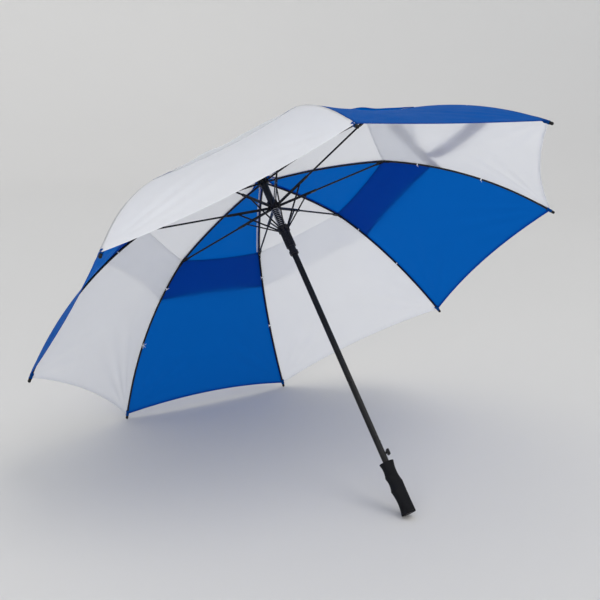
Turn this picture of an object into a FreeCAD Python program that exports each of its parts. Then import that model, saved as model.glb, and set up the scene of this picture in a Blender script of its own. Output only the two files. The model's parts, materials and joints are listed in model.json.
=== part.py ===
"""Golf umbrella, 30-inch ribs, open, lying as it is left: on two rib tips and the end of its grip.

Every piece is drawn in the umbrella's own frame (origin on the shaft at the top of the canopy, +Z towards
the ferrule, the handle at -Z) and then tilted into the row frame by its Placement. The pieces of one rib
are drawn in the plane y = 0 and turned to the rib's azimuth. Depths are distances below the canopy's top.
"""

import FreeCAD, Part

import math
import os

import Sketcher
from FreeCAD import Placement, Rotation, Vector

RIBS = 8
RIB_STEP = 360.0 / RIBS
STRAP_GORE = 7
X_AXIS, Y_AXIS, Z_AXIS = Vector(1, 0, 0), Vector(0, 1, 0), Vector(0, 0, 1)

# The driving dimensions, in millimetres and degrees.
SIZES = {
    "tip_radius": 650.0,
    "tip_depth": 319.0,
    "tip_ball": 3.5,
    "elbow_radius": 306.0,
    "elbow_depth": 52.5,
    "elbow_slope": 20.8,
    "hub_radius": 11.5,
    "hub_depth": 17.0,
    "hub_body": 13.0,
    "hub_height": 16.0,
    "hub_lid": 2.5,
    "hub_slot": 1.4,
    "hub_floor": 9.2,
    "slot_long": 10.0,
    "pin_bite": 0.3,
    "rib_rod": 2.2,
    "cap_rod": 3.3,
    "cap_length": 19.0,
    "eye_radius": 2.0,
    "eye_run": 9.0,
    "strut_reach": 78.0,
    "strut_hub": 12.3,
    "strut_depth": 150.0,
    "strut_body": 13.8,
    "strut_half": 1.3,
    "strut_height": 3.0,
    "strut_head": 1.9,
    "pin": 0.7,
    "pin_play": 0.06,
    "rivet": 0.8,
    "rivet_half": 4.3,
    "side_gap": 0.4,
    "bar_inner": 1.7,
    "bar_thick": 1.0,
    "bar_height": 4.4,
    "bar_run": 96.0,
    "boss_radius": 1.4,
    "boss_rise": 0.3,
    "block_long": 14.0,
    "stay_rod": 2.1,
    "elbow_gap": 15.0,
    "clevis_long": 8.0,
    "clevis_high": 3.2,
    "clevis_ear": 1.9,
    "tongue_half": 1.0,
    "ear_thick": 1.0,
    "ear_gap": 0.3,
    "ear_radius": 2.5,
    "bridge_long": 5.0,
    "shaft_outer": 7.0,
    "shaft_wall": 1.0,
    "shaft_end": 850.0,
    "shaft_top": 40.0,
    "run_play": 0.06,
    "sleeve_outer": 8.5,
    "runner_top": 72.0,
    "runner_base": 92.0,
    "runner_floor": 9.1,
    "slider_top": 144.0,
    "slider_ring": 14.0,
    "slider_floor": 10.3,
    "slider_body": 11.5,
    "slider_body_end": 200.0,
    "slider_neck": 8.5,
    "slider_neck_end": 212.0,
    "slider_collar": 10.5,
    "slider_end": 220.0,
    "flute": 1.1,
    "flute_out": 0.3,
    "flute_land": 4.0,
    "keyway_reach": 9.0,
    "keyway_long": 15.5,
    "keyway_play": 0.4,
    "coil_radius": 8.8,
    "coil_wire": 0.8,
    "coil_turns": 10.0,
    "coil_clear": 0.3,
    "grip_top": 748.0,
    "grip_end": 864.5,
    "grip_outer": 16.5,
    "grip_waist": 14.2,
    "grip_finger": 13.0,
    "grip_finger_cut": 3.4,
    "grip_thumb": 60.0,
    "grip_thumb_cut": 2.0,
    "grip_edge": 3.5,
    "plug_radius": 10.0,
    "plug_depth": 3.0,
    "button_depth": 728.0,
    "button_long": 14.0,
    "button_wide": 12.0,
    "button_low": 9.9,
    "button_high": 16.3,
    "button_stem": 2.8,
    "button_hole": 3.15,
    "button_round": 2.4,
    "button_root": 3.4,
    "latch_depth": 700.0,
    "latch_half": 1.1,
    "latch_out": 8.0,
    "latch_root": 2.0,
    "latch_nose": 4.0,
    "latch_slit": 6.0,
    "latch_slit_play": 0.3,
    "leaf_side": 5.2,
    "leaf_thick": 0.8,
    "leaf_long": 46.0,
    "leaf_drop": 1.2,
    "ferrule_length": 64.0,
    "ferrule_outer": 9.0,
    "ferrule_tip": 5.5,
    "tip_pin": 15.0,
    "tip_bevel": 1.0,
    "ferrule_taper": 10.0,
    "ferrule_waist": 0.6,
    "collar": 1.5,
    "collar_height": 4.0,
    "collar_slant": 2.0,
    "socket_depth": 38.0,
    "flange_outer": 19.0,
    "flange_lift": 2.2,
    "flange_dome": 3.0,
    "flange_edge": 0.8,
    "flange_seat": 2.0,
    "sleeve_length": 50.0,
    "cloth": 0.8,
    "cloth_gap": 3.4,
    "cap_lift": 1.6,
    "cap_edge": 0.625,
    "vent_edge": 0.463,
    "hem_edge": 0.985,
    "hem_scallop": 12.0,
    "cap_scallop": 11.0,
    "seam_gap": 1.3,
    "crown_drop": 3.0,
    "strap_width": 33.0,
    "strap_long": 255.0,
    "strap_share": 0.648,
    "strap_fork": 62.0,
    "strap_lean": 11.0,
    "strap_turn": 37.0,
    "strap_clear": 0.5,
    "button_azimuth": -25.0,
}

doc = FreeCAD.newDocument("golf_umbrella")
sheet = doc.addObject("Spreadsheet::Sheet", "Sizes")
for row, (word, number) in enumerate(SIZES.items(), start=1):
    sheet.set(f"A{row}", word)
    sheet.set(f"B{row}", str(number))
    sheet.setAlias(f"B{row}", word)
doc.recompute()

PARTS = []

# How far a piece runs into its neighbour so that they fuse, and a cutting tool past what it cuts.
JOIN = 1.5
PAST = 10.0
BOX_EDGES = 12


def size(expression):
    """The value of an expression in the sheet's words, as a plain number."""
    value = sheet.evalExpression(linked(expression, ""))
    return float(getattr(value, "Value", value))


def linked(expression, prefix="Sizes."):
    """The expression with each of the sheet's words written as a reference to its cell."""
    out, word = "", ""
    for letter in str(expression) + " ":
        if letter.isalnum() or letter == "_":
            word += letter
            continue
        out += (prefix + word if word in SIZES else word) + letter
        word = ""
    return out.strip()


def bind(item, **properties):
    for name, expression in properties.items():
        item.setExpression(name, linked(expression))
    return item


def at(x=0.0, y=0.0, z=0.0, axis=Z_AXIS, angle=0.0):
    return Placement(Vector(x, y, z), Rotation(axis, angle))


def cylinder(radius, height, place, angle=None):
    item = bind(doc.addObject("Part::Cylinder", "Cylinder"), Radius=radius, Height=height)
    if angle is not None:
        item.setExpression("Angle", linked(angle))
    item.Placement = place
    return item


def ball(radius, place):
    item = bind(doc.addObject("Part::Sphere", "Sphere"), Radius=radius)
    item.Placement = place
    return item


def box(length, width, height, place):
    """A box centred across its width and height, running along +X from the place's origin."""
    item = bind(doc.addObject("Part::Box", "Box"), Length=length, Width=width, Height=height)
    middle = Placement(Vector(0, -size(width) / 2, -size(height) / 2), Rotation())
    item.Placement = place.multiply(middle)
    return item


def cross_pin(radius, half_length, x, z, y=0.0):
    """A cylinder along Y, centred on y."""
    base = Placement(Vector(x, y + size(half_length), z), Rotation(X_AXIS, 90))
    return cylinder(radius, f"2 * ({half_length})", base)


def fuse(items):
    union = doc.addObject("Part::MultiFuse", "Union")
    union.Shapes = items
    return union


def cut(base, tools):
    difference = doc.addObject("Part::Cut", "Difference")
    difference.Base = base
    difference.Tool = tools[0] if len(tools) == 1 else fuse(tools)
    return difference


def common(first, second):
    both = doc.addObject("Part::Common", "Overlap")
    both.Base = first
    both.Tool = second
    return both


def sub_part(name, item, place=None):
    """Keeps an object as a sub-part named by its Label, at a place in the umbrella's frame."""
    item.Label = name
    PARTS.append((item, place or Placement()))
    return item


def turned(corners):
    """A body turned about the shaft from a sketch whose corners are (radius, height above its low end)."""
    body = doc.addObject("PartDesign::Body", "Body")
    sketch = body.newObject("Sketcher::SketchObject", "Profile")
    plane = next(f for f in body.Origin.OriginFeatures if f.Role == "XZ_Plane")
    sketch.AttachmentSupport = [(plane, "")]
    sketch.MapMode = "FlatFace"
    points = [Vector(size(x), size(y), 0) for x, y in corners]
    for start, end in zip(points, points[1:] + points[:1]):
        sketch.addGeometry(Part.LineSegment(start, end), False)
    for edge in range(len(points)):
        sketch.addConstraint(Sketcher.Constraint("Coincident", edge, 2, (edge + 1) % len(points), 1))
    for edge, (x, y) in enumerate(corners):
        for kind, expression in (("DistanceX", x), ("DistanceY", y)):
            number = sketch.addConstraint(Sketcher.Constraint(kind, -1, 1, edge, 1, size(expression)))
            sketch.setExpression(f"Constraints[{number}]", linked(expression))
    spin = body.newObject("PartDesign::Revolution", "Turned")
    spin.Profile = sketch
    spin.ReferenceAxis = (sketch, ["V_Axis"])
    spin.Angle = 360
    body.Tip = spin
    return body


# The rib's shape: two tangent arcs in the plane of the rib, hub to elbow and elbow to tip.


def arc_from(start, start_slope, end):
    """The downward arc from start to end, leaving start at start_slope: its centre, radius and end slope."""
    run, fall = end[0] - start[0], start[1] - end[1]
    chord_slope = math.degrees(math.atan2(fall, run))
    half = chord_slope - start_slope
    radius = math.hypot(run, fall) / (2 * math.sin(math.radians(half)))
    lean = math.radians(start_slope)
    centre = (start[0] - radius * math.sin(lean), start[1] - radius * math.cos(lean))
    return centre, radius, start_slope + 2 * half


HUB = (size("hub_radius"), -size("hub_depth"))
ELBOW = (size("elbow_radius"), -size("elbow_depth"))
TIP = (size("tip_radius"), -size("tip_depth"))
RUNNER = (HUB[0], 2 * ELBOW[1] - HUB[1])
STRUT_FOOT = (size("strut_hub"), -size("strut_depth"))

inner_chord = math.degrees(math.atan2(HUB[1] - ELBOW[1], ELBOW[0] - HUB[0]))
HUB_SLOPE = 2 * inner_chord - size("elbow_slope")
INNER_CENTRE, INNER_RADIUS, _ = arc_from(HUB, HUB_SLOPE, ELBOW)
OUTER_CENTRE, OUTER_RADIUS, TIP_SLOPE = arc_from(ELBOW, size("elbow_slope"), TIP)

# The stay runs from the runner's pin to the elbow; it is as long as the inner rib's chord, so that the
# two make an isosceles triangle on the shaft and the runner slides true while the rib folds.
STAY_LENGTH = math.hypot(ELBOW[0] - RUNNER[0], ELBOW[1] - RUNNER[1])
STAY_RISE = math.degrees(math.atan2(ELBOW[1] - RUNNER[1], ELBOW[0] - RUNNER[0]))
STRUT_HEAD = (
    RUNNER[0] + size("strut_reach") * math.cos(math.radians(STAY_RISE)),
    RUNNER[1] + size("strut_reach") * math.sin(math.radians(STAY_RISE)),
)
STRUT_LENGTH = math.hypot(STRUT_HEAD[0] - STRUT_FOOT[0], STRUT_HEAD[1] - STRUT_FOOT[1])
STRUT_RISE = math.degrees(math.atan2(STRUT_HEAD[1] - STRUT_FOOT[1], STRUT_HEAD[0] - STRUT_FOOT[0]))


def rod_arc(centre, radius, from_slope, to_slope, rod):
    """A round rod bent to an arc in the plane y = 0, between two downward slopes."""
    item = doc.addObject("Part::Torus", "Rod")
    item.Radius1 = radius
    item.setExpression("Radius2", linked(rod))
    item.Angle3 = to_slope - from_slope
    turn = Rotation(X_AXIS, 90).multiply(Rotation(Z_AXIS, 90 - to_slope))
    item.Placement = Placement(Vector(centre[0], 0, centre[1]), turn)
    return item


def on_arc(centre, radius, slope):
    lean = math.radians(slope)
    return centre[0] + radius * math.sin(lean), centre[1] + radius * math.cos(lean)


def sloped(point, slope, y=0.0):
    """A place at a point of the plane y = 0, with its X axis pointing down the slope."""
    return Placement(Vector(point[0], y, point[1]), Rotation(Y_AXIS, slope))


def arc_step(radius, distance):
    return math.degrees(distance / radius)


def inner_rib():
    """Eye in the crown, rod, and at the elbow a tongue with the rivet."""
    start = HUB_SLOPE + arc_step(INNER_RADIUS, size("eye_run"))
    stop = size("elbow_slope") - arc_step(INNER_RADIUS, size("eye_run"))
    length = size("eye_run") + JOIN
    neck = box(length, "2 * tongue_half", "2 * eye_radius", sloped(HUB, HUB_SLOPE))
    eye = fuse([neck, cross_pin("eye_radius", "tongue_half", *HUB)])
    drilled = cut(eye, [cross_pin("pin + pin_play", PAST, *HUB)])
    rod = rod_arc(INNER_CENTRE, INNER_RADIUS, start, stop, "rib_rod")
    back = sloped(ELBOW, size("elbow_slope") + 180)
    tongue = box(length, "2 * tongue_half", "2 * ear_radius", back)
    round_end = cross_pin("ear_radius", "tongue_half", *ELBOW)
    rivet = cross_pin("rivet", "rivet_half", *ELBOW)
    return fuse([drilled, rod, tongue, round_end, rivet])


def ears(point, slope, length, first, end_radius):
    """Two side plates, first from the middle, that run down the slope from round ends for the rivet."""
    plates = []
    for side in (-1, 1):
        y = side * (size(first) + size("ear_thick") / 2)
        plate = box(length, "ear_thick", f"2 * ({end_radius})", sloped(point, slope, y))
        end = cross_pin(end_radius, "ear_thick / 2", point[0], point[1], y)
        plates += [plate, end]
    return cut(fuse(plates), [cross_pin("rivet + pin_play", PAST, *point)])


def outer_rib():
    """Ears on the elbow's rivet, a rod to the tip, and the black cap with its ball end on it."""
    start = size("elbow_slope") + arc_step(OUTER_RADIUS, size("eye_run"))
    cap_start = TIP_SLOPE - arc_step(OUTER_RADIUS, size("cap_length"))
    rod_end = cap_start + arc_step(OUTER_RADIUS, JOIN)
    fork_long = size("eye_run") + JOIN
    fork = ears(ELBOW, size("elbow_slope"), fork_long, "tongue_half + ear_gap", "ear_radius")
    bridge_start = on_arc(OUTER_CENTRE, OUTER_RADIUS, start)
    bridge_wide = "2 * (tongue_half + ear_gap + ear_thick)"
    bridge = box("bridge_long", bridge_wide, "2 * ear_radius", sloped(bridge_start, start))
    rod = rod_arc(OUTER_CENTRE, OUTER_RADIUS, start, rod_end, "rib_rod")
    cap = rod_arc(OUTER_CENTRE, OUTER_RADIUS, cap_start, TIP_SLOPE, "cap_rod")
    end = ball("tip_ball", at(TIP[0], 0, TIP[1]))
    return fuse([fork, bridge, rod, cap, end])


def stay():
    """Stretcher: two side bars from the runner's pin past the strut, then a rod and a clevis."""
    rise = -STAY_RISE
    bars = []
    for side in (-1, 1):
        y = side * size("bar_inner + bar_thick / 2")
        bars.append(box("bar_run", "bar_thick", "bar_height", sloped(RUNNER, rise, y)))
        bars.append(cross_pin("bar_height / 2", "bar_thick / 2", *RUNNER, y))
        boss_y = side * size("bar_inner - boss_rise / 2")
        bars.append(cross_pin("boss_radius", "boss_rise / 2", *STRUT_HEAD, boss_y))
    drilled = cut(fuse(bars), [cross_pin("pin + pin_play", PAST, *RUNNER)])
    block_start = size("bar_run - block_long / 2")
    head_start = STAY_LENGTH - size("elbow_gap + clevis_long")
    block_place = sloped(down_stay(block_start), rise)
    block = box("block_long", "2 * (bar_inner + bar_thick)", "bar_height", block_place)
    rod = cylinder("stay_rod", head_start - block_start, sloped(down_stay(block_start + JOIN), rise + 90))
    head_first = "tongue_half + 2 * ear_gap + ear_thick"
    head_place = sloped(down_stay(head_start), rise)
    head = box("clevis_long", f"2 * ({head_first} + ear_thick)", "clevis_high", head_place)
    clevis = ears(ELBOW, rise + 180, "elbow_gap + clevis_long / 2", head_first, "clevis_ear")
    return fuse([drilled, block, rod, head, clevis])


def down_stay(distance):
    """The point of the stay's line at a distance from the runner's pin."""
    rise = math.radians(STAY_RISE)
    return RUNNER[0] + distance * math.cos(rise), RUNNER[1] + distance * math.sin(rise)


def strut():
    """The short link from the slider's pin up into the stay's bars."""
    bar = box(STRUT_LENGTH, "2 * strut_half", "strut_height", sloped(STRUT_FOOT, -STRUT_RISE))
    foot = cross_pin("strut_height / 2", "strut_half", *STRUT_FOOT)
    head = cross_pin("strut_head", "strut_half", *STRUT_HEAD)
    return cut(fuse([bar, foot, head]), [cross_pin("pin + pin_play", PAST, *STRUT_FOOT)])


def slotted_hub(outer, pivot, pin_depth, half_slot, floor, top_depth, base_depth):
    """A ring on the shaft, between two depths, with a slot and a cross pin for each rib."""
    top, base = size(top_depth), size(base_depth)
    ring = cylinder(outer, base - top, at(z=-base))
    slots, pins = [], []
    for number in range(RIBS):
        turn = Placement(Vector(), Rotation(Z_AXIS, RIB_STEP * (number + 0.5)))
        middle = at(size(floor), 0, -(base + top) / 2)
        slot = box("slot_long", f"2 * ({half_slot})", base - top + PAST, turn.multiply(middle))
        pin = cross_pin("pin", f"{half_slot} + pin_bite", size(pivot), -size(pin_depth))
        pin.Placement = turn.multiply(pin.Placement)
        slots.append(slot)
        pins.append(pin)
    return ring, slots, pins


def bore(low_depth, high_depth, radius="shaft_outer + run_play"):
    length = size(low_depth) - size(high_depth) + 2 * PAST
    return cylinder(radius, length, at(z=-size(low_depth) - PAST))


def crown():
    top, base = "hub_depth - hub_height * 3 / 4", "hub_depth + hub_height / 4"
    pivot = ("hub_body", "hub_radius", "hub_depth")
    ring, slots, pins = slotted_hub(*pivot, "hub_slot", "hub_floor", top, base)
    lid = cylinder("hub_body", "hub_lid", at(z=-size(f"{top} + hub_lid")))
    return cut(fuse([cut(ring, slots), *pins, lid]), [bore(base, top, "shaft_outer")])


def upper_runner():
    half_slot = "bar_inner + bar_thick + side_gap"
    pivot = ("hub_body", "hub_radius", -RUNNER[1])
    ring, slots, pins = slotted_hub(*pivot, half_slot, "runner_floor", "runner_top", "runner_base")
    return cut(fuse([cut(ring, slots), *pins]), [bore("runner_base", "runner_top")])


def lower_runner():
    """The slider: ring for the struts, fluted hand grip, neck and end collar, and the latch's keyway."""
    half_slot = "strut_half + side_gap"
    pivot = ("strut_body", "strut_hub", "strut_depth")
    ring_base = "slider_top + slider_ring"
    ring, slots, pins = slotted_hub(*pivot, half_slot, "slider_floor", "slider_top", ring_base)
    body_long = "slider_body_end - slider_top - slider_ring"
    body = cylinder("slider_body", body_long, at(z=-size("slider_body_end")))
    neck = cylinder("slider_neck", "slider_neck_end - slider_body_end", at(z=-size("slider_neck_end")))
    collar = cylinder("slider_collar", "slider_end - slider_neck_end", at(z=-size("slider_end")))
    flutes = []
    for number in range(2 * RIBS):
        angle = math.radians(RIB_STEP / 2 * number)
        reach = size("slider_body + flute_out")
        foot = at(reach * math.cos(angle), reach * math.sin(angle), -size("slider_body_end - flute_land"))
        flutes.append(cylinder("flute", f"{body_long} - 2 * flute_land", foot))
    keyway_middle = at(0, 0, -size("slider_end - keyway_long / 2"))
    keyway = box("keyway_reach", "2 * (latch_half + keyway_play)", "keyway_long + 1", radial(keyway_middle))
    outside = fuse([cut(ring, slots), *pins, cut(body, flutes), neck, collar])
    return cut(outside, [bore("slider_end", "slider_top"), keyway])


def main_spring():
    """The opening spring, coiled on the shaft between the two runners: the coil and its low end's height."""
    length = size("slider_top - runner_base - 2 * (coil_wire + coil_clear)")
    path = doc.addObject("Part::Helix", "Coil")
    path.Pitch = length / size("coil_turns")
    path.Height = length
    path.setExpression("Radius", linked("coil_radius"))
    wire = doc.addObject("Part::Circle", "Wire")
    wire.setExpression("Radius", linked("coil_wire"))
    wire.Placement = at(size("coil_radius"), 0, 0, X_AXIS, 90)
    coil = doc.addObject("Part::Sweep", "Spring")
    coil.Sections = [wire]
    coil.Spine = (path, [])
    coil.Solid = True
    coil.Frenet = True
    return coil, -size("slider_top - coil_wire - coil_clear")


def radial(placement):
    """A place turned to the button's azimuth."""
    return at(axis=Z_AXIS, angle=size("button_azimuth")).multiply(placement)


def shaft_tube():
    length = size("shaft_end + shaft_top")
    foot = -size("shaft_end")
    outside = cylinder("shaft_outer", length, at(z=foot))
    inside = cylinder("shaft_outer - shaft_wall", length + 2 * PAST, at(z=foot - PAST))
    hole = cylinder("button_hole", PAST, radial(at(0, 0, -size("button_depth"), Y_AXIS, 90)))
    slit_wide = "2 * (latch_half + latch_slit_play)"
    slit = box(PAST, slit_wide, "latch_slit", radial(at(0, 0, -size("latch_depth"))))
    return cut(outside, [inside, hole, slit])


def latch_spring():
    """The flat spring inside the shaft: its nose stands out of the slit and holds the closed slider."""
    depth = -size("latch_depth")
    side = -size("leaf_side")
    arm_drop = size("(latch_nose - leaf_thick) / 2")
    leaf_middle = depth - size("leaf_drop + leaf_long / 2")
    wide = "2 * latch_half"
    nose = box("latch_out - latch_root", wide, "latch_nose", radial(at(size("latch_root"), 0, depth)))
    arm_long = "leaf_side + latch_root + leaf_thick"
    arm = box(arm_long, wide, "leaf_thick", radial(at(side, 0, depth - arm_drop)))
    leaf = box("leaf_thick", wide, "leaf_long", radial(at(side, 0, leaf_middle)))
    return fuse([nose, arm, leaf])


def release_button():
    depth = -size("button_depth")
    low = at(size("button_low"), 0, depth)
    block = box("button_high - button_low", "button_wide", "button_long", radial(low))
    knob = doc.addObject("Part::Fillet", "Knob")
    knob.Base = block
    rounding = size("button_round")
    knob.Edges = [(edge, rounding, rounding) for edge in range(1, BOX_EDGES + 1)]
    root = at(size("button_root"), 0, depth, Y_AXIS, 90)
    stem = cylinder("button_stem", "button_low - button_root + button_round", radial(root))
    return fuse([knob, stem])


def grip():
    """Rubber grip: a waisted barrel with three finger hollows and a thumb hollow across from them."""
    low, high = size("grip_end"), size("grip_top")
    length = low - high
    edge, rim, waist = size("grip_edge"), size("grip_outer"), size("grip_waist")
    profile = [
        (0, 0),
        (rim - edge, 0),
        (rim, edge),
        (waist, length / 2),
        (rim, length - edge),
        (rim - edge, length),
        (0, length),
    ]
    points = [Vector(x, 0, z) for x, z in profile]
    corner = edge * (1 - math.sqrt(0.5))
    sides = [
        Part.LineSegment(points[0], points[1]),
        Part.Arc(points[1], Vector(rim - corner, 0, corner), points[2]),
        Part.Arc(points[2], points[3], points[4]),
        Part.Arc(points[4], Vector(rim - corner, 0, length - corner), points[5]),
        Part.LineSegment(points[5], points[6]),
        Part.LineSegment(points[6], points[0]),
    ]
    barrel = Part.Face(Part.Wire([side.toShape() for side in sides])).revolve(Vector(), Z_AXIS, 360)
    finger_side = size("button_azimuth") + 180
    for share in (0.30, 0.50, 0.70):
        barrel = barrel.cut(hollow("grip_finger", "grip_finger_cut", share * length, finger_side))
    barrel = barrel.cut(hollow("grip_thumb", "grip_thumb_cut", 0.68 * length, size("button_azimuth")))
    core_foot = Vector(0, 0, low - size("shaft_end"))
    core = Part.makeCylinder(size("shaft_outer"), size("shaft_end - grip_top"), core_foot)
    recess = Part.makeCylinder(size("plug_radius"), size("plug_depth"))
    item = doc.addObject("Part::Feature", "Grip")
    item.Shape = barrel.cut(core).cut(recess).removeSplitter()
    return item


def hollow(radius, depth, height, azimuth):
    """A lying cylinder that cuts a groove into the grip's waist, at a height above its low end."""
    reach = size(f"grip_waist - ({depth}) + {radius}")
    half = size("2 * grip_outer")
    tool = Part.makeCylinder(size(radius), 2 * half, Vector(reach, -half, height), Y_AXIS)
    tool.Placement = at(axis=Z_AXIS, angle=azimuth).multiply(tool.Placement)
    return tool


def hem_tool(edge_radius, sag):
    """The radius of the upright cylinder that hollows a hem at mid-gore, and its distance from the shaft."""
    half = edge_radius * math.sin(math.radians(RIB_STEP / 2))
    radius = (half**2 + sag**2) / (2 * sag)
    chord = edge_radius * math.cos(math.radians(RIB_STEP / 2))
    return radius, chord - sag + radius


def cloth_arc(centre, radius, from_slope, to_slope, lift, thickness="cloth"):
    """A strip of cloth bent to an arc about an axis along Y, and as wide as a whole gore."""
    wide = size("tip_radius")
    turn = Rotation(X_AXIS, 90).multiply(Rotation(Z_AXIS, 90 - to_slope))
    place = Placement(Vector(centre[0], wide / 2, centre[1]), turn)
    outside = cylinder(f"{radius + lift} + {thickness}", wide, place, to_slope - from_slope)
    past = Placement(place.Base + Vector(0, PAST, 0), turn)
    return cut(outside, [cylinder(f"{radius + lift}", wide + 2 * PAST, past)])


GORE_SQUEEZE = math.cos(math.radians(RIB_STEP / 2))
GORE_TOP = (0.0, -size("cloth_gap + crown_drop"))
GORE_ELBOW = (ELBOW[0] * GORE_SQUEEZE, ELBOW[1])
GORE_TIP = (TIP[0] * GORE_SQUEEZE, TIP[1])
gore_chord = math.degrees(math.atan2(GORE_TOP[1] - GORE_ELBOW[1], GORE_ELBOW[0]))
GORE_SLOPE = math.degrees(math.atan(math.tan(math.radians(size("elbow_slope"))) / GORE_SQUEEZE))
GORE_TOP_SLOPE = 2 * gore_chord - GORE_SLOPE
GORE_INNER_CENTRE, GORE_INNER_RADIUS, _ = arc_from(GORE_TOP, GORE_TOP_SLOPE, GORE_ELBOW)
GORE_OUTER_CENTRE, GORE_OUTER_RADIUS, GORE_TIP_SLOPE = arc_from(GORE_ELBOW, GORE_SLOPE, GORE_TIP)
# The lower canopy starts this many degrees before the elbow, and the vent's cap ends this many past it.
VENT_SLOPE = 3
CAP_SLOPE = 18


def gore(cloth, hem_share, sag, hole):
    """The cloth between two ribs, cut to a wedge with a hollowed hem and a round hole at the shaft."""
    foot = -size("tip_depth") - PAST
    height = size("tip_depth") + 2 * PAST
    wedge_foot = at(size("seam_gap"), 0, foot, angle=-RIB_STEP / 2)
    wedge = cylinder("tip_radius + slot_long", height, wedge_foot, RIB_STEP)
    radius, middle = hem_tool(size(f"{hem_share} * tip_radius"), size(sag))
    hem = cylinder(radius, height + 2 * PAST, at(middle, 0, foot - PAST))
    centre_hole = cylinder(hole, height + 2 * PAST, at(z=foot - PAST))
    return cut(common(cloth, wedge), [hem, centre_hole])


def canopy_panel():
    lift = size("cloth_gap")
    start = GORE_SLOPE - VENT_SLOPE
    cloth = cloth_arc(GORE_OUTER_CENTRE, GORE_OUTER_RADIUS, start, GORE_TIP_SLOPE, lift)
    return gore(cloth, "hem_edge", "hem_scallop", "vent_edge * tip_radius")


def vent_panel():
    lift = size("cloth_gap + cloth + cap_lift")
    near = cloth_arc(GORE_INNER_CENTRE, GORE_INNER_RADIUS, GORE_TOP_SLOPE, GORE_SLOPE, lift)
    far = cloth_arc(GORE_OUTER_CENTRE, GORE_OUTER_RADIUS, GORE_SLOPE, GORE_SLOPE + CAP_SLOPE, lift)
    return gore(fuse([near, far]), "cap_edge", "cap_scallop", "shaft_outer + 0.5")


def closing_strap():
    """The tie that holds the closed canopy: two ends in a V, from a rib's seam over the gore beside it."""
    lift = size("cloth_gap + 2 * cloth + cap_lift + strap_clear")
    thick = "1.5 * cloth"
    cloth = cloth_arc(GORE_OUTER_CENTRE, GORE_OUTER_RADIUS, GORE_SLOPE, GORE_TIP_SLOPE, lift, thick)
    half = math.radians(RIB_STEP / 2)
    root = size("strap_share * tip_radius")
    height = size("tip_depth") + 2 * PAST
    seam_y = root * math.sin(half) - size("seam_gap + strap_width / 4")
    seam = Vector(root * math.cos(half), seam_y, -height / 2)
    lean = -90 - size("strap_lean")
    inner = box("strap_long", "strap_width", height, Placement(seam, Rotation(Z_AXIS, lean)))
    fork = seam + Rotation(Z_AXIS, lean).multVec(X_AXIS) * size("strap_fork")
    turned_out = Rotation(Z_AXIS, lean + size("strap_turn"))
    outer = box("strap_long - strap_fork", "strap_width", height, Placement(fork, turned_out))
    return common(cloth, fuse([inner, outer]))


def build():
    for number in range(1, RIBS + 1):
        rib = at(axis=Z_AXIS, angle=RIB_STEP * (number - 0.5))
        between = at(axis=Z_AXIS, angle=RIB_STEP * number)
        sub_part(f"rib_inner_{number}", inner_rib(), rib)
        sub_part(f"rib_outer_{number}", outer_rib(), rib)
        sub_part(f"stretcher_{number}", stay(), rib)
        sub_part(f"strut_{number}", strut(), rib)
        sub_part(f"vent_panel_{number}", vent_panel(), between)
        sub_part(f"canopy_panel_{number}", canopy_panel(), between)
        if number == STRAP_GORE:
            sub_part("closing_strap", closing_strap(), between)
    sub_part("shaft_tube", shaft_tube())
    sub_part("crown", crown())
    sub_part("upper_runner", upper_runner())
    sub_part("lower_runner", lower_runner())
    sub_part("latch_spring", latch_spring())
    sub_part("release_button", release_button())
    coil, low = main_spring()
    sub_part("main_spring", coil, at(z=low))
    sub_part("grip", grip(), at(z=-size("grip_end")))
    sleeve = [
        ("shaft_outer", "0"),
        ("sleeve_outer", "0"),
        ("sleeve_outer", "sleeve_length"),
        ("shaft_outer", "sleeve_length"),
    ]
    sub_part("stop_sleeve", turned(sleeve), at(z=-size("runner_top") + size("side_gap")))
    plug = [("0", "0"), ("plug_radius", "0"), ("plug_radius", "plug_depth"), ("0", "plug_depth")]
    sub_part("end_cap", turned(plug), at(z=-size("grip_end")))
    pin_foot = "flange_dome + ferrule_length - tip_pin"
    point = "flange_dome + ferrule_length"
    spike = [
        ("shaft_outer", "0"),
        ("flange_outer", "0"),
        ("flange_outer", "flange_edge"),
        ("ferrule_outer + flange_seat", "flange_dome"),
        ("ferrule_outer + collar", "flange_dome"),
        ("ferrule_outer + collar", "flange_dome + collar_height"),
        ("ferrule_outer", "flange_dome + collar_height + collar_slant"),
        ("ferrule_outer - ferrule_waist", f"{pin_foot} - ferrule_taper"),
        ("ferrule_tip", f"{pin_foot} - tip_bevel"),
        ("ferrule_tip", f"{point} - tip_bevel"),
        ("ferrule_tip - tip_bevel", point),
        ("0", point),
        ("0", "flange_dome + socket_depth"),
        ("shaft_outer", "flange_dome + socket_depth"),
    ]
    sub_part("ferrule", turned(spike), at(z=size("flange_lift")))


def lean_angle():
    """The tilt about X that rests two rib tips and the grip's rounded end on one plane."""
    tip_y = size("tip_radius") * math.cos(math.radians(RIB_STEP / 2))
    end_y = size("grip_outer - tip_ball")
    end_z = -size("grip_end - tip_ball")
    return math.degrees(math.atan2(-size("tip_depth") - end_z, tip_y - end_y))


def place_parts(shift):
    tilt = Placement(shift, Rotation(X_AXIS, -lean_angle()))
    for item, place in PARTS:
        item.Placement = tilt.multiply(place)
    doc.recompute()


def whole_box():
    whole = FreeCAD.BoundBox()
    for item, _ in PARTS:
        whole.add(item.Shape.optimalBoundingBox(False, False))
    return whole


def check():
    for item in doc.Objects:
        if {"Invalid", "Error"} & set(item.State):
            raise SystemExit(f"{item.Name} ({item.Label}) is {item.State}")
    for item, _ in PARTS:
        if item.Shape.isNull() or not item.Shape.isValid() or len(item.Shape.Solids) != 1:
            raise SystemExit(f"{item.Label}: {len(item.Shape.Solids)} solids, valid {item.Shape.isValid()}")


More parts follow.
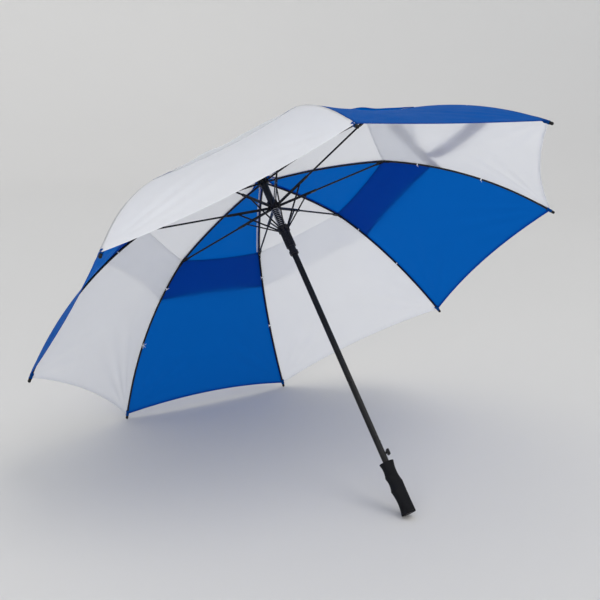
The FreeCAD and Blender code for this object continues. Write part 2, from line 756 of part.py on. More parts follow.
def main():
    build()
    place_parts(Vector())
    around = whole_box()
    place_parts(Vector(-around.Center.x, -around.Center.y, -around.ZMin))
    check()
    os.makedirs("parts", exist_ok=True)
    for item, _ in PARTS:
        item.Shape.exportStep(f"parts/{item.Label}.step")


main()
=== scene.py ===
"""Golf umbrella, open, lying on two rib tips and the end of its grip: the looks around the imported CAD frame.

The canopy is drawn in the umbrella's own frame, whose origin is on the shaft at the top of the canopy and
whose z axis points to the ferrule, and placed() puts it in the row frame. Rib n stands at the azimuth
(n - 1/2) / 8 of a turn, and gore n lies between rib n and the next. A gore is made in halves, because each
half folds with its own rib. Lengths are in metres.
"""

import json
import math

import bpy
import numpy as np
from mathutils import Matrix, Vector


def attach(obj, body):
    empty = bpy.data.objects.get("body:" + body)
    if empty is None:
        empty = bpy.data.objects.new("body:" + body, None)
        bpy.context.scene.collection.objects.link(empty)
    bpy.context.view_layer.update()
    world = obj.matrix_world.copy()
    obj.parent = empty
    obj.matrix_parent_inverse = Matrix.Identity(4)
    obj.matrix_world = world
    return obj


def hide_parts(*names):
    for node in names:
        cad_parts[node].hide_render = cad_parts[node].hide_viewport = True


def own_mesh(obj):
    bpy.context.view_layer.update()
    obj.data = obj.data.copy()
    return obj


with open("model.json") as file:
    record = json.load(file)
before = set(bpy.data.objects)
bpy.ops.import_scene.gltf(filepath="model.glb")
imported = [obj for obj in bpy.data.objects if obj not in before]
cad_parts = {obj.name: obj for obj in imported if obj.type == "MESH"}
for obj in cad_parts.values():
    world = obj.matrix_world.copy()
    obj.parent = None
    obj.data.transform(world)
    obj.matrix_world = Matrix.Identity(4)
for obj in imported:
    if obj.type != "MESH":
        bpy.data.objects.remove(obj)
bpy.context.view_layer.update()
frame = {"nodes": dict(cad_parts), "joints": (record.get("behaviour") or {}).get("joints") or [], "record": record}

RIBS = 8
HALF = math.pi / RIBS
JOINTS = {joint["name"]: joint for joint in frame["joints"]}
MOUNTS = {mount["name"]: mount for mount in frame["record"]["mounts"]}


# The camera, the floor and the lights.

CAMERA_AZIMUTH, CAMERA_ELEVATION, CAMERA_ROLL = map(math.radians, (-36.5, 14.15, 2.04))
CAMERA_TARGET = Vector((-0.025, 0.0, 0.390))
CAMERA_DISTANCE = 2.202
CAMERA_LENS = 57.8


def make_camera():
    data = bpy.data.cameras.new("camera")
    data.lens = CAMERA_LENS
    camera = bpy.data.objects.new("camera", data)
    bpy.context.scene.collection.objects.link(camera)
    level = math.cos(CAMERA_ELEVATION)
    right, near = math.sin(CAMERA_AZIMUTH) * level, -math.cos(CAMERA_AZIMUTH) * level
    back = Vector((right, near, math.sin(CAMERA_ELEVATION)))
    upright = back.to_track_quat("Z", "Y").to_matrix().to_4x4()
    roll = Matrix.Rotation(CAMERA_ROLL, 4, "Z")
    camera.matrix_world = Matrix.Translation(CAMERA_TARGET + back * CAMERA_DISTANCE) @ upright @ roll
    bpy.context.scene.camera = camera


def aimed(light_name, data, place, travel):
    light = bpy.data.objects.new(light_name, data)
    bpy.context.scene.collection.objects.link(light)
    light.location = place
    light.rotation_mode = "QUATERNION"
    light.rotation_quaternion = Vector(travel).to_track_quat("-Z", "Y")


KEY_ANGLE, KEY_ENERGY, KEY_COLOUR = math.radians(32), 0.65, (1.0, 0.955, 0.89)
KEY_PLACE, KEY_TRAVEL = (0.0, 0.0, 5.0), (-0.3, 0.435, -1.0)
FRONT_WIDE, FRONT_HIGH, FRONT_ENERGY, FRONT_COLOUR = 6.0, 2.0, 168.0, (1.0, 0.99, 0.98)
FRONT_PLACE, FRONT_TARGET = Vector((-3.3, -4.5, 1.25)), Vector((0.0, 0.0, 0.45))
SKY_COLOUR, SKY_STRENGTH = (0.95, 0.97, 1.0, 1.0), 0.86


def make_lights():
    """A broad sun from above, a large panel in front, and an even sky."""
    key = bpy.data.lights.new("key", "SUN")
    key.angle = KEY_ANGLE
    key.energy = KEY_ENERGY
    key.color = KEY_COLOUR
    aimed("key", key, KEY_PLACE, KEY_TRAVEL)
    front = bpy.data.lights.new("front", "AREA")
    front.shape = "RECTANGLE"
    front.size, front.size_y = FRONT_WIDE, FRONT_HIGH
    front.energy = FRONT_ENERGY
    front.color = FRONT_COLOUR
    aimed("front", front, FRONT_PLACE, FRONT_TARGET - FRONT_PLACE)
    world = bpy.data.worlds.new("studio")
    world.use_nodes = True
    sky = world.node_tree.nodes["Background"]
    sky.inputs["Color"].default_value = SKY_COLOUR
    sky.inputs["Strength"].default_value = SKY_STRENGTH
    bpy.context.scene.world = world
    bpy.context.scene.view_settings.view_transform = "Standard"


# Shader nodes.


class Nodes:
    """A material's node tree, with short ways to add and join nodes."""

    def __init__(self, name):
        self.material = bpy.data.materials.new(name)
        self.material.use_nodes = True
        self.tree = self.material.node_tree
        self.shader = self.tree.nodes["Principled BSDF"]
        self.output = self.tree.nodes["Material Output"]

    def add(self, kind, inputs=None, **settings):
        node = self.tree.nodes.new(kind)
        for name, value in settings.items():
            setattr(node, name, value)
        for name, value in (inputs or {}).items():
            self.put(node.inputs[name], value)
        return node

    def put(self, socket, value):
        if isinstance(value, bpy.types.NodeSocket):
            self.tree.links.new(value, socket)
        else:
            socket.default_value = value

    def set(self, **values):
        for name, value in values.items():
            self.put(self.shader.inputs[name.replace("_", " ")], value)

    def math(self, operation, *values):
        node = self.add("ShaderNodeMath", operation=operation)
        for socket, value in zip(node.inputs, values):
            self.put(socket, value)
        return node.outputs[0]

    def noise(self, scale, detail=3.0):
        place = self.add("ShaderNodeTexCoord").outputs["Object"]
        inputs = {"Vector": place, "Scale": scale, "Detail": detail}
        return self.add("ShaderNodeTexNoise", inputs).outputs["Fac"]

    def between(self, share, low, high):
        """A number that goes from low to high as share goes from 0.3 to 0.7, the range of a noise."""
        inputs = {"Value": share, "From Min": 0.3, "From Max": 0.7, "To Min": low, "To Max": high}
        return self.add("ShaderNodeMapRange", inputs).outputs["Result"]

    def tint(self, share, low, high):
        """A colour between low and high."""
        ramp = self.add("ShaderNodeValToRGB", {"Fac": share})
        for stop, position, colour in zip(ramp.color_ramp.elements, (0.3, 0.7), (low, high)):
            stop.position = position
            stop.color = (*colour, 1.0)
        return ramp.outputs["Color"]

    def bump(self, height, distance, strength=1.0):
        inputs = {"Height": height, "Distance": distance, "Strength": strength}
        return self.add("ShaderNodeBump", inputs).outputs[0]


def scaled(colour, share):
    return tuple(share * part for part in colour)


THREAD = 0.0007


def cloth(name, colour, through, share):
    """Fine plain-weave polyester: part of the light is scattered back, and a share goes through it."""
    nodes = Nodes(name)
    place = nodes.add("ShaderNodeUVMap").outputs["UV"]
    waves = []
    for direction in ("X", "Y"):
        inputs = {"Vector": place, "Scale": math.pi / 10 / THREAD, "Distortion": 0.0}
        wave = nodes.add("ShaderNodeTexWave", inputs, bands_direction=direction)
        waves.append(wave.outputs["Fac"])
    weave = nodes.math("MAXIMUM", *waves)
    streaks = nodes.noise(9.0, 4.0)
    even = nodes.tint(streaks, scaled(colour, 0.96), colour)
    slack = nodes.noise(26.0, 2.0)
    relief = nodes.math("ADD", nodes.math("MULTIPLY", weave, 0.12), slack)
    normal = nodes.bump(relief, 0.0004, 0.6)
    nodes.set(Base_Color=even, Normal=normal, Roughness=nodes.between(slack, 0.5, 0.62))
    nodes.set(Specular_IOR_Level=0.06)
    glow = nodes.add("ShaderNodeBsdfTranslucent", {"Color": (*through, 1.0), "Normal": normal}).outputs[0]
    mix = nodes.add("ShaderNodeMixShader", {"Fac": share, 1: nodes.shader.outputs[0], 2: glow})
    nodes.put(nodes.output.inputs["Surface"], mix.outputs[0])
    return nodes.material


def hard(name, colour, roughness, grain, bump, metallic=0.0, level=0.5):
    """Plastic, enamel, metal or rubber: a grain of the given scale in its colour, roughness and relief."""
    nodes = Nodes(name)
    speck = nodes.noise(grain, 4.0)
    broad = nodes.noise(45.0, 3.0)
    nodes.set(Base_Color=nodes.tint(broad, scaled(colour, 0.8), scaled(colour, 1.25)))
    nodes.set(Roughness=nodes.between(broad, roughness - 0.06, roughness + 0.08))
    nodes.set(Normal=nodes.bump(speck, bump, 0.5))
    nodes.set(Metallic=metallic, Specular_IOR_Level=level)
    return nodes.material


WHITE, BLUE = "white_cloth", "blue_cloth"
MATERIALS = {
    WHITE: cloth("white_cloth", (0.865, 0.875, 0.90), (0.92, 0.93, 0.95), 0.45),
    BLUE: cloth("blue_cloth", (0.0006, 0.064, 0.27), (0.0006, 0.175, 0.74), 0.50),
    "rib_fibreglass": hard("rib_fibreglass", (0.006, 0.006, 0.007), 0.42, 900.0, 0.0001, level=0.2),
    "stretcher_black": hard("stretcher_black", (0.006, 0.006, 0.007), 0.38, 1200.0, 0.00008, level=0.25),
    "shaft_black": hard("shaft_black", (0.005, 0.005, 0.006), 0.32, 1500.0, 0.00005, level=0.25),
    "runner_plastic": hard("runner_plastic", (0.006, 0.006, 0.008), 0.36, 1800.0, 0.00015, level=0.3),
    "latch_steel": hard("latch_steel", (0.35, 0.35, 0.36), 0.35, 700.0, 0.00005, metallic=1.0),
    "button_plastic": hard("button_plastic", (0.006, 0.006, 0.007), 0.35, 1400.0, 0.00008, level=0.25),
    "spring_steel": hard("spring_steel", (0.30, 0.30, 0.32), 0.3, 900.0, 0.00005, metallic=1.0),
    "grip_rubber": hard("grip_rubber", (0.005, 0.0055, 0.007), 0.6, 2200.0, 0.00025, level=0.1),
    "end_cap_plastic": hard("end_cap_plastic", (0.007, 0.007, 0.008), 0.5, 1600.0, 0.00015, level=0.16),
    "ferrule_black": hard("ferrule_black", (0.006, 0.006, 0.007), 0.4, 1600.0, 0.0001, level=0.25),
}
TIE_THREAD = hard("tie_thread", (0.72, 0.73, 0.76), 0.8, 2500.0, 0.0002, level=0.2)
TAPE = hard("strap_tape", (0.03, 0.05, 0.26), 0.75, 900.0, 0.0002, level=0.15)


def paint_cad_nodes():
    slots = {part["node"]: part["material_slot"] for part in frame["record"]["subparts"]}
    for name, node in frame["nodes"].items():
        node.data.materials.clear()
        node.data.materials.append(MATERIALS[slots[name]])


# The floor: a wide shallow bowl, flat under the object, so that no edge shows from any side.

FLOOR_FLAT, FLOOR_BEND, FLOOR_WALL = 4.6, 2.6, 3.0


def make_floor():
    steps = 24
    profile = [(0.0, 0.0), (1.0, 0.0), (2.5, 0.0)]
    for step in range(steps + 1):
        angle = math.pi / 2 * step / steps
        profile.append((FLOOR_FLAT + FLOOR_BEND * math.sin(angle), FLOOR_BEND * (1 - math.cos(angle))))
    profile.append((FLOOR_FLAT + FLOOR_BEND, FLOOR_BEND + FLOOR_WALL))
    floor = lathe("floor", profile, 96, Matrix.Identity(4), floor_material())


def floor_material():
    """Matt paint, painted paler up the wall than on the floor: painted light, standing in for the lamps' light,
    which is weaker up the wall.
    """
    nodes = Nodes("studio_floor")
    cloud = nodes.noise(0.8, 3.0)
    place = nodes.add("ShaderNodeTexCoord").outputs["Object"]
    height = nodes.add("ShaderNodeSeparateXYZ", {"Vector": place}).outputs["Z"]
    # Painted light: the wall's colour grows paler with height, to make up for the light that falls off up the
    # wall.
    inputs = {"Value": height, "From Min": 0.3, "From Max": 3.0, "To Min": 0.28, "To Max": 0.68}
    painted_wall_light = nodes.add("ShaderNodeMapRange", inputs).outputs["Result"]
    share = nodes.math("ADD", painted_wall_light, nodes.math("MULTIPLY", cloud, 0.04))
    nodes.set(Base_Color=nodes.tint(share, (0.645, 0.643, 0.64), (0.78, 0.778, 0.77)))
    nodes.set(Roughness=nodes.between(cloud, 0.85, 0.92), Specular_IOR_Level=0.2)
    return nodes.material


# Meshes.


def mesh_piece(name, points, faces, material, uvs=None):
    """A smooth-shaded mesh object; uvs hold one pair for each point."""
    mesh = bpy.data.meshes.new(name)
    mesh.from_pydata([tuple(point) for point in points], [], faces)
    mesh.materials.append(material)
    mesh.polygons.foreach_set("use_smooth", [True] * len(mesh.polygons))
    if uvs is not None:
        layer = mesh.uv_layers.new(name="cloth")
        corners = np.zeros(len(mesh.loops), dtype=np.int32)
        mesh.loops.foreach_get("vertex_index", corners)
        layer.data.foreach_set("uv", np.asarray(uvs, dtype=np.float32)[corners].ravel())
    mesh.update()
    piece = bpy.data.objects.new(name, mesh)
    bpy.context.scene.collection.objects.link(piece)
    return piece


def grid_faces(rows, columns, closed=False, first=0):
    faces = []
    for row in range(rows - 1):
        for column in range(columns if closed else columns - 1):
            a = first + row * columns + column
            b = first + row * columns + (column + 1) % columns
            faces.append((a, b, b + columns, a + columns))
    return faces


def lathe(name, profile, segments, place, material):
    """A surface turned about z from (radius, height) points, placed by a matrix."""
    angles = np.linspace(0, 2 * math.pi, segments, endpoint=False)
    points = [place @ Vector((r * math.cos(a), r * math.sin(a), z)) for r, z in profile for a in angles]
    return mesh_piece(name, points, grid_faces(len(profile), segments, closed=True), material)


def tube(line, radius, sides=8):
    """The points and faces of a round tube along a line, with its ends closed."""
    line = np.asarray(line, dtype=float)
    ahead = np.gradient(line, axis=0)
    ahead /= np.linalg.norm(ahead, axis=1)[:, None]
    side = np.cross(ahead[0], (0.3, 0.5, 0.81))
    points = []
    for centre, along in zip(line, ahead):
        side = side - along * (side @ along)
        side /= np.linalg.norm(side)
        other = np.cross(along, side)
        for step in range(sides):
            angle = 2 * math.pi * step / sides
            points.append(centre + radius * (math.cos(angle) * side + math.sin(angle) * other))
    faces = grid_faces(len(line), sides, closed=True)
    faces.append(tuple(reversed(range(sides))))
    faces.append(tuple(range(len(points) - sides, len(points))))
    return points, faces


def joined(name, shapes, material):
    """One piece from several (points, faces) shapes."""
    points, faces = [], []
    for more_points, more_faces in shapes:
        faces += [tuple(len(points) + corner for corner in face) for face in more_faces]
        points += list(more_points)
    return mesh_piece(name, points, faces, material)


# The umbrella's own frame, read from the joints and the shaft's mount.

HUB_DEPTH = 0.017
TIP = np.array((0.650, -0.319))
ELBOW_SLOPE = math.radians(20.8)

fold_joints = ["canopy_fold"] + [f"rib_{n}_fold" for n in range(2, RIBS + 1)]
UP = Vector(MOUNTS["shaft"]["axis"])
SIDE = Vector((1.0, 0.0, 0.0))
FRONT = UP.cross(SIDE)
ORIGIN = sum((Vector(JOINTS[name]["pos_m"]) for name in fold_joints), Vector()) / RIBS + HUB_DEPTH * UP
AXES = np.array((SIDE, FRONT, UP))
UMBRELLA = Matrix.Translation(ORIGIN) @ Matrix((SIDE, FRONT, UP)).transposed().to_4x4()


def placed(points):
    """Points of the umbrella's frame in the row frame."""
    return np.asarray(points) @ AXES + np.array(ORIGIN)


def turned(points, azimuth):
    """Points turned about the umbrella's axis."""
    cos, sin = math.cos(azimuth), math.sin(azimuth)
    return np.asarray(points) @ np.array(((cos, sin, 0), (-sin, cos, 0), (0, 0, 1)))


def rib_azimuth(rib):
    return 2 * HALF * (rib - 0.5)


def move(piece, rib):
    """Takes a piece drawn in its rib's frame to the row frame."""
    turn = Matrix.Rotation(rib_azimuth(rib), 4, "Z")
    piece.data.transform(UMBRELLA @ turn)
    piece.data.update()


def in_rib_plane(name):
    """A joint's place as (radius, height) in the umbrella's frame."""
    offset = Vector(JOINTS[name]["pos_m"]) - ORIGIN
    height = offset.dot(UP)
    return np.array(((offset - height * UP).length, height))


def slope_between(start, end):
    return math.atan2(start[1] - end[1], end[0] - start[0])


HUB, ELBOW = in_rib_plane("canopy_fold"), in_rib_plane("rib_1_unbend")
INNER_CHORD, OUTER_CHORD = slope_between(HUB, ELBOW), slope_between(ELBOW, TIP)
INNER_HALF_BEND = math.radians(6.5)
CAD_HALF_BEND = ELBOW_SLOPE - INNER_CHORD
OUTER_HALF_BEND = OUTER_CHORD - ELBOW_SLOPE
INNER_BEND = np.linalg.norm(ELBOW - HUB) / 2 / math.sin(INNER_HALF_BEND)
CAD_BEND = np.linalg.norm(ELBOW - HUB) / 2 / math.sin(CAD_HALF_BEND)
OUTER_BEND = np.linalg.norm(TIP - ELBOW) / 2 / math.sin(OUTER_HALF_BEND)
ELBOW_RUN = 2 * INNER_BEND * INNER_HALF_BEND
TIP_RUN = ELBOW_RUN + 2 * OUTER_BEND * OUTER_HALF_BEND


def rib_line(run):
    """Radius, height and slope of the rib's line at distances along it from the hub's pin."""
    run = np.asarray(run, dtype=float)
    inner = run < ELBOW_RUN
    bend = np.where(inner, INNER_BEND, OUTER_BEND)
    at_elbow = np.where(inner, INNER_CHORD + INNER_HALF_BEND, ELBOW_SLOPE)
    slope = at_elbow + (run - ELBOW_RUN) / bend
    radius = ELBOW[0] + bend * (np.sin(slope) - np.sin(at_elbow))
    height = ELBOW[1] + bend * (np.cos(slope) - np.cos(at_elbow))
    return radius, height, slope


def bow_height(radius, bend, half_bend):
    """Height of an arc from the hub's pin to the elbow, at these radii."""
    lean = INNER_CHORD + half_bend
    centre = ELBOW - bend * np.array((math.sin(lean), math.cos(lean)))
    return centre[1] + np.sqrt(bend**2 - (np.clip(radius, HUB[0], ELBOW[0]) - centre[0]) ** 2)


def run_at(radius):
    """The distance along the rib at which its line has this radius."""
    runs = np.linspace(0, TIP_RUN, 2000)
    return float(np.interp(radius, rib_line(runs)[0], runs))


# The inner ribs, drawn with a flatter bow than the CAD model gives them, as the photo shows.


def make_inner_ribs():
    for rib in range(1, RIBS + 1):
        node = frame["nodes"][f"rib_inner_{rib}"]
        piece = bpy.data.objects.new(f"rib_rod_{rib}", node.data.copy())
        bpy.context.scene.collection.objects.link(piece)
        to_rib = Matrix.Rotation(-rib_azimuth(rib), 4, "Z") @ UMBRELLA.inverted() @ node.matrix_world
        piece.data.transform(to_rib)
        for vertex in piece.data.vertices:
            radius = vertex.co.x
            drawn = bow_height(radius, INNER_BEND, INNER_HALF_BEND)
            vertex.co.z += drawn - bow_height(radius, CAD_BEND, CAD_HALF_BEND)
        move(piece, rib)
        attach(piece, f"inner_rib_{rib}")
        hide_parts(node.name)


# The canopy. A place on a gore is a run along its ribs, and a side from -1 on rib n to 1 on the next rib.

CLOTH_LIFT = 0.0029
CAP_LIFT = 0.0040
HEM_RUN = TIP_RUN - 0.008
HEM_SCALLOP = 0.020
VENT_RUN = run_at(0.468 * TIP[0])
CAP_RUN = run_at(0.638 * TIP[0])
CAP_SCALLOP = 0.013
CROWN_RADIUS, CROWN_TOP, CROWN_REACH = 0.014, -0.0008, 0.040
LOWER_SAG, CAP_SAG = 0.030, 0.012
SLACK_GORE, SLACK_SCALLOP, SLACK_SAG = 5, 0.013, 0.014


def ridge(run, lift):
    """The line over a rib where two gores meet, each at its lift from the rib's line."""
    radius, height, slope = rib_line(run)
    gore_slope = np.arctan(np.tan(slope) / math.cos(HALF))
    reach = np.sin(slope) * np.sin(gore_slope) * math.cos(HALF) + np.cos(slope) * np.cos(gore_slope)
    return radius + lift / reach * np.sin(slope), height + lift / reach * np.cos(slope), gore_slope


def smooth(value, low, high):
    share = np.clip((value - low) / (high - low), 0, 1)
    return share * share * (3 - 2 * share)


def fan(run, side, seed):
    """Fine tension folds that fan out from the gore's two lower corners."""
    total = 0.0
    half_width = rib_line(run)[0] * math.sin(HALF)
    for corner in (-1, 1):
        across = np.abs(side - corner) * half_width
        along = np.maximum(HEM_RUN - run, 0)
        distance = np.hypot(across, along)
        angle = np.arctan2(across, along)
        ray = np.sin(19 * angle + 1.7 * seed + corner) * np.sin(2 * angle) ** 2
        total = total + ray * smooth(distance, 0.0, 0.09) * (1 - smooth(distance, 0.16, 0.33))
    return 0.0011 * total


def gore_points(run, side, cap, seed, drop=0.0):
    """Points of a gore in its own frame, x along the middle of the gore; drop is a distance to its inside."""
    run, side, drop = np.broadcast_arrays(run, side, drop)
    lift = (CAP_LIFT if cap else CLOTH_LIFT) + 0.0008 * smooth(run, TIP_RUN - 0.05, TIP_RUN - 0.03)
    radius, height, slope = ridge(run, lift)
    if cap:
        gathered = 1 - smooth(radius, CROWN_RADIUS, CROWN_REACH)
        height = height + gathered * (CROWN_TOP - rib_line(0.0)[1] - CAP_LIFT)
        slope = slope + 0.6 * gathered
    hollow = 1 - side**2
    width = 2 * radius * math.sin(HALF)
    if cap:
        edge = smooth(run, ELBOW_RUN, CAP_RUN)
        inward = CAP_SAG * width * hollow * smooth(radius, 0.02, 0.2)
        wave = np.sin(8.2 * side + 2.1 * seed) + 0.6 * np.sin(13.7 * side + seed)
        inward = inward - (0.0022 * edge + 0.0016 * edge**3 * wave) * hollow
    else:
        tightening = SLACK_SAG if seed == SLACK_GORE else -0.012
        inward = (LOWER_SAG + tightening * smooth(run, 0.7 * TIP_RUN, TIP_RUN)) * width * hollow
        inward = inward + fan(run, side, seed)
    inward = inward + drop
    x = radius * math.cos(HALF) - inward * np.sin(slope)
    z = height - inward * np.cos(slope)
    return np.stack((x, radius * math.sin(HALF) * side, z), axis=-1)


FOLD_BACK = ((0.0005, 0.0003), (0.0, 0.0006), (-0.002, 0.0007), (-0.005, 0.0007))
ACROSS, SEAM, HEM_FOLD = 30, 0.005, 0.006


def half_gore(name, gore, right, cap, starts, ends, rows, fold_start, fold_end):
    """Half of a gore between two runs, each (run at the ribs, scallop at mid-gore), its edges folded back."""
    side = np.linspace(0.0, 1.0, ACROSS) ** 0.9 * (1 if right else -1)
    mid_fold = (*FOLD_BACK[1:3], (-SEAM, 0.0007))
    start = starts[0] - starts[1] * (1 - side**2)
    end = ends[0] - ends[1] * (1 - side**2)
    lines = []
    if fold_start:
        lines += [(start - out, drop) for out, drop in reversed(FOLD_BACK)]
    lines += [(start + share * (end - start), 0.0) for share in np.linspace(0, 1, rows)]
    if fold_end:
        lines += [(end + out, drop) for out, drop in FOLD_BACK]
    points, uvs = [], []
    for run, drop in lines:
        half_width = rib_line(run[-1])[0] * math.sin(HALF)
        row_side, row_run, row_drop = list(side), list(run), [drop] * len(side)
        for out, more in mid_fold:
            row_side.append(side[-1] * (1 + out / max(half_width, SEAM)))
            row_run.append(run[-1])
            row_drop.append(drop + more)
        row = gore_points(np.array(row_run), np.array(row_side), cap, gore, np.array(row_drop))
        points.append(row)
        uvs.append(np.stack((row[:, 1], np.array(row_run)), axis=-1))
    columns = len(points[0])
    flat_points = placed(turned(np.concatenate(points), 2 * HALF * gore))
    faces = grid_faces(len(points), columns)
    if right:
        faces = [tuple(reversed(face)) for face in faces]
    slot = BLUE if gore % 2 == 0 else WHITE
    piece = mesh_piece(name, flat_points, faces, MATERIALS[slot], np.concatenate(uvs))
    return piece


def fold_with(piece, rib, inner):
    """Lets a piece of cloth ride on its rib, on a mesh of its own."""
    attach(piece, f"{'inner' if inner else 'outer'}_rib_{rib}")
    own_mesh(piece)


def hang(piece, rib, inner, node):
    """Lets a half gore ride on its rib, and hides the CAD panel that it stands for."""
    fold_with(piece, rib, inner)
    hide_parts(node)


def make_canopy():
    crown_run = run_at(0.0) - 0.004
    for gore in range(1, RIBS + 1):
        hem_end = (HEM_RUN, SLACK_SCALLOP if gore == SLACK_GORE else HEM_SCALLOP)
        layers = {
            "canopy": ((VENT_RUN, 0.0), hem_end, 80, (True, True), False),
            "vent_cap": ((crown_run, 0.0), (ELBOW_RUN, 0.0), 56, (False, False), True),
            "vent_hem": ((ELBOW_RUN, 0.0), (CAP_RUN, CAP_SCALLOP), 30, (False, True), True),
        }
        for right in (False, True):
            rib = gore % RIBS + 1 if right else gore
            for layer, (starts, ends, rows, folded, cap) in layers.items():
                name = f"{layer}_{gore}_{'right' if right else 'left'}"
                piece = half_gore(name, gore, right, cap, starts, ends, rows, *folded)
                node = f"vent_panel_{gore}" if cap else f"canopy_panel_{gore}"
                hang(piece, rib, layer == "vent_cap", node)


# Small sewn things. Each is drawn beside its own rib, in that rib's frame: x outward, y across, z up.


def rib_ring(run, radius, thread, sides=20):
    """A loop of thread around a rib, square to it."""
    r, z, slope = (float(value) for value in rib_line(run))
    loop = []
    for angle in np.linspace(0, 2 * math.pi, sides):
        out = radius * math.sin(angle)
        loop.append((r + out * math.sin(slope), radius * math.cos(angle), z + out * math.cos(slope)))
    return tube(loop, thread, 6)


TIE_SHARES = (0.588, 0.797)
TIE_THREAD_RADIUS = 0.0005
TIE_LOOP = 0.0027
TIE_SPREAD = 0.0009
LOOSE_TIE = (3, 0.797)


def tie_end(run, azimuth, length, lean):
    """A loose end of thread that leaves the knot under the rib."""
    r, z, slope = (float(value) for value in rib_line(run))
    line = []
    for share in np.linspace(0, 1, 7):
        out = length * share
        under = -TIE_LOOP - 0.0008 - 0.5 * lean * length * share**2
        along, across = out * math.cos(azimuth), out * math.sin(azimuth)
        outward = along * math.cos(slope) + under * math.sin(slope)
        upward = under * math.cos(slope) - along * math.sin(slope)
        line.append((r + outward, across, z + upward))
    return tube(line, TIE_THREAD_RADIUS, 6)


def make_ties():
    """The thread that ties the lower canopy to each outer rib in two places."""
    for rib in range(1, RIBS + 1):
        for number, share in enumerate(TIE_SHARES, start=1):
            run = run_at(share * TIP[0])
            turns = (run - TIE_SPREAD, run, run + TIE_SPREAD)
            shapes = [rib_ring(place, TIE_LOOP, TIE_THREAD_RADIUS) for place in turns]
            ends = 6 if (rib, share) == LOOSE_TIE else 2
            for end in range(ends):
                azimuth = 0.9 + 2 * math.pi * end / ends + 0.4 * math.sin(3.1 * rib + end)
                length = 0.0080 if ends > 2 else 0.0055
                shapes.append(tie_end(run, azimuth, length, 0.4))
            tie = joined(f"tie_{rib}_{number}", shapes, TIE_THREAD)
            move(tie, rib)
            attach(tie, f"outer_rib_{rib}")


POCKET_BACK, POCKET_ON = 0.010, 0.003
POCKET_RADIUS, POCKET_FLAT_RADIUS = 0.0038, 0.0045
POCKET_ROWS, POCKET_SIDES = 14, 20


def make_pockets():
    """The cloth pocket at each corner of the canopy, drawn over the rib's end and onto its tip cap."""
    for rib in range(1, RIBS + 1):
        lines = []
        for share in np.linspace(0, 1, POCKET_ROWS):
            run = HEM_RUN - POCKET_BACK + share * (POCKET_BACK + POCKET_ON)
            r, z, slope = (float(value) for value in rib_line(run))
            radius = POCKET_RADIUS + 0.0003 * math.sin(9 * share)
            for angle in np.linspace(0, 2 * math.pi, POCKET_SIDES, endpoint=False):
                across = radius * math.cos(angle) * (1.3 - 0.3 * share)
                out = radius * math.sin(angle)
                lines.append((r + out * math.sin(slope), across, z + out * math.cos(slope)))
        uvs = [(math.atan2(point[1], 1.0), point[0]) for point in lines]
        faces = grid_faces(POCKET_ROWS, POCKET_SIDES, closed=True)
        piece = mesh_piece(f"pocket_{rib}", lines, faces, MATERIALS[BLUE], uvs)
        move(piece, rib)
        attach(piece, f"outer_rib_{rib}")


STRIP_NEAR, STRIP_FAR = 0.0028, 0.0072
STRIP_ROWS = ((STRIP_NEAR, 0.0010), (0.005, 0.0012), (STRIP_FAR, 0.0011), (STRIP_FAR + 0.0003, 0.0007))
SEAM_FROM = 0.022


def make_seam_strips():
    """The white gores' seam allowances, drawn on the blue side of the even ribs as far as the elbow."""
    for rib in range(2, RIBS + 1, 2):
        runs = np.linspace(run_at(SEAM_FROM), ELBOW_RUN - 0.004, 40)
        half_width = rib_line(runs)[0] * math.sin(HALF)
        rows = []
        for offset, drop in STRIP_ROWS:
            rows.append(gore_points(runs, offset / half_width - 1, True, rib, drop))
        points = np.concatenate(rows)
        place = placed(turned(points, 2 * HALF * rib))
        faces = grid_faces(len(STRIP_ROWS), len(runs))
        piece = mesh_piece(f"seam_strip_{rib}", place, faces, MATERIALS[WHITE], points[:, :2])
        fold_with(piece, rib, True)


# The closing strap: a forked tape on one gore. An arm goes from one (side, radius share) to another.

STRAP_GORE = 7
STRAP_WIDTH = 0.033
STRAP_ARMS = {
    "long": ((1.0, 0.648), (-0.62, 0.558)),
    "short": ((0.54, 0.647), (-0.74, 0.832)),
}
STRAP_OVER = {"long": 0.0, "short": -0.0014}
STRAP_EDGES = (
    (-0.5, -0.0006),
    (-0.485, -0.0015),
    (-0.25, -0.0016),
    (0.0, -0.0016),
    (0.25, -0.0016),
    (0.485, -0.0015),
    (0.5, -0.0006),
)


def make_strap():
    for arm, ((near_side, near_share), (far_side, far_share)) in STRAP_ARMS.items():
        near_run, far_run = run_at(near_share * TIP[0]), run_at(far_share * TIP[0])
        for right in (True, False):
            sides = np.linspace(near_side, 0.0, 24) if right else np.linspace(0.0, far_side, 20)
            along = (sides - near_side) / (far_side - near_side)
            middle = near_run + along * (far_run - near_run)
            half_width = rib_line(middle)[0] * math.sin(HALF)
            lean = np.arctan2(far_run - near_run, (near_side - far_side) * half_width.mean())
            rows = []
            for share, drop in STRAP_EDGES:
                run = middle + share * STRAP_WIDTH / math.cos(lean)
                rows.append(gore_points(run, sides, True, STRAP_GORE, drop + STRAP_OVER[arm]))
            points = np.concatenate(rows)
            half = "right" if right else "left"
            place = placed(turned(points, 2 * HALF * STRAP_GORE))
            faces = grid_faces(len(STRAP_EDGES), len(sides))
            piece = mesh_piece(f"strap_{arm}_{half}", place, faces, TAPE, points[:, :2])
            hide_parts("closing_strap")
            fold_with(piece, STRAP_GORE + 1 if right else STRAP_GORE, False)


# The mainspring, between the two runners.

SPRING_TOP, SPRING_BOTTOM, SPRING_TURNS = 0.0923, 0.1437, 10
SPRING_RADIUS, SPRING_WIRE = 0.0088, 0.0008
SPRING_FLAT_END = 0.06


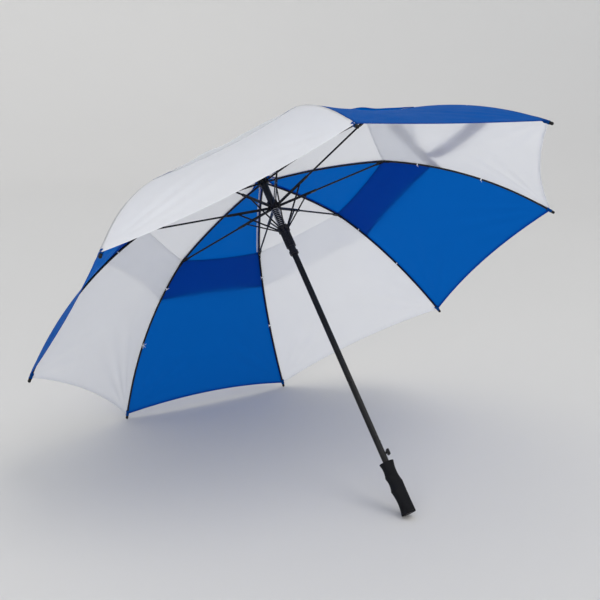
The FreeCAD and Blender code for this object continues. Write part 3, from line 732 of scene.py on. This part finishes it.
def make_spring():
    line = []
    for step in np.linspace(0, 1, SPRING_TURNS * 28 + 1):
        ends = smooth(step, 0.0, SPRING_FLAT_END) + smooth(step, 1 - SPRING_FLAT_END, 1.0)
        rise = SPRING_FLAT_END * ends + np.clip(step - SPRING_FLAT_END, 0, 1 - 2 * SPRING_FLAT_END)
        angle = 2 * math.pi * SPRING_TURNS * step
        depth = SPRING_TOP + SPRING_WIRE + rise * (SPRING_BOTTOM - SPRING_TOP - 2 * SPRING_WIRE)
        line.append((SPRING_RADIUS * math.cos(angle), SPRING_RADIUS * math.sin(angle), -depth))
    spring = joined("mainspring", [tube(line, SPRING_WIRE, 8)], MATERIALS["spring_steel"])
    spring.data.transform(UMBRELLA)
    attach(spring, "upper_runner")
    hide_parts("main_spring")
    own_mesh(spring)


# The grip: a rubber sleeve with two ridges on the finger side and a bulge on the palm side.

GRIP_TOP, GRIP_BOTTOM, GRIP_RADIUS = 0.748, 0.8645, 0.0165
GRIP_FINGERS = math.radians(155)
FINGER_HOLLOWS = ((0.0, 0.274, 0.0027), (0.274, 0.534, 0.0027), (0.534, 1.0, 0.0036))
PALM_HOLLOWS = ((0.0, 0.40, 0.0034), (0.40, 1.0, 0.0004))


def hollowed(share, hollows):
    """The grip's radius at a share of its length, given (start, end, depth) hollows that meet in ridges."""
    for start, end, depth in hollows:
        if start <= share <= end:
            return GRIP_RADIUS - depth * math.sin(math.pi * (share - start) / (end - start)) ** 0.85
    return GRIP_RADIUS


def make_grip():
    around, along = 72, 120
    rings = [(0.0, -0.0084), (0.0, -0.0009), (0.0, -0.0003)]
    rings += [(share, 0.0) for share in np.linspace(0.004, 0.992, along)]
    rings += [(0.998, -0.0009), (0.9995, -0.0019), (1.0, -0.0032), (1.0, -0.0055)]
    points = []
    for share, inset in rings:
        depth = GRIP_TOP + share * (GRIP_BOTTOM - GRIP_TOP)
        fingers, palm = hollowed(share, FINGER_HOLLOWS), hollowed(share, PALM_HOLLOWS)
        for angle in np.linspace(0, 2 * math.pi, around, endpoint=False):
            facing = smooth(math.cos(angle - GRIP_FINGERS), -0.5, 0.7)
            radius = palm + (fingers - palm) * facing + inset
            points.append((radius * math.cos(angle), radius * math.sin(angle), -depth))
    faces = grid_faces(len(rings), around, closed=True)
    grip = mesh_piece("grip_sleeve", points, faces, MATERIALS["grip_rubber"])
    grip.data.transform(UMBRELLA)
    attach(grip, "frame")
    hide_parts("grip")


make_camera()
make_lights()
make_floor()
paint_cad_nodes()
make_inner_ribs()
make_canopy()
make_ties()
make_pockets()
make_seam_strips()
make_strap()
make_spring()
make_grip()
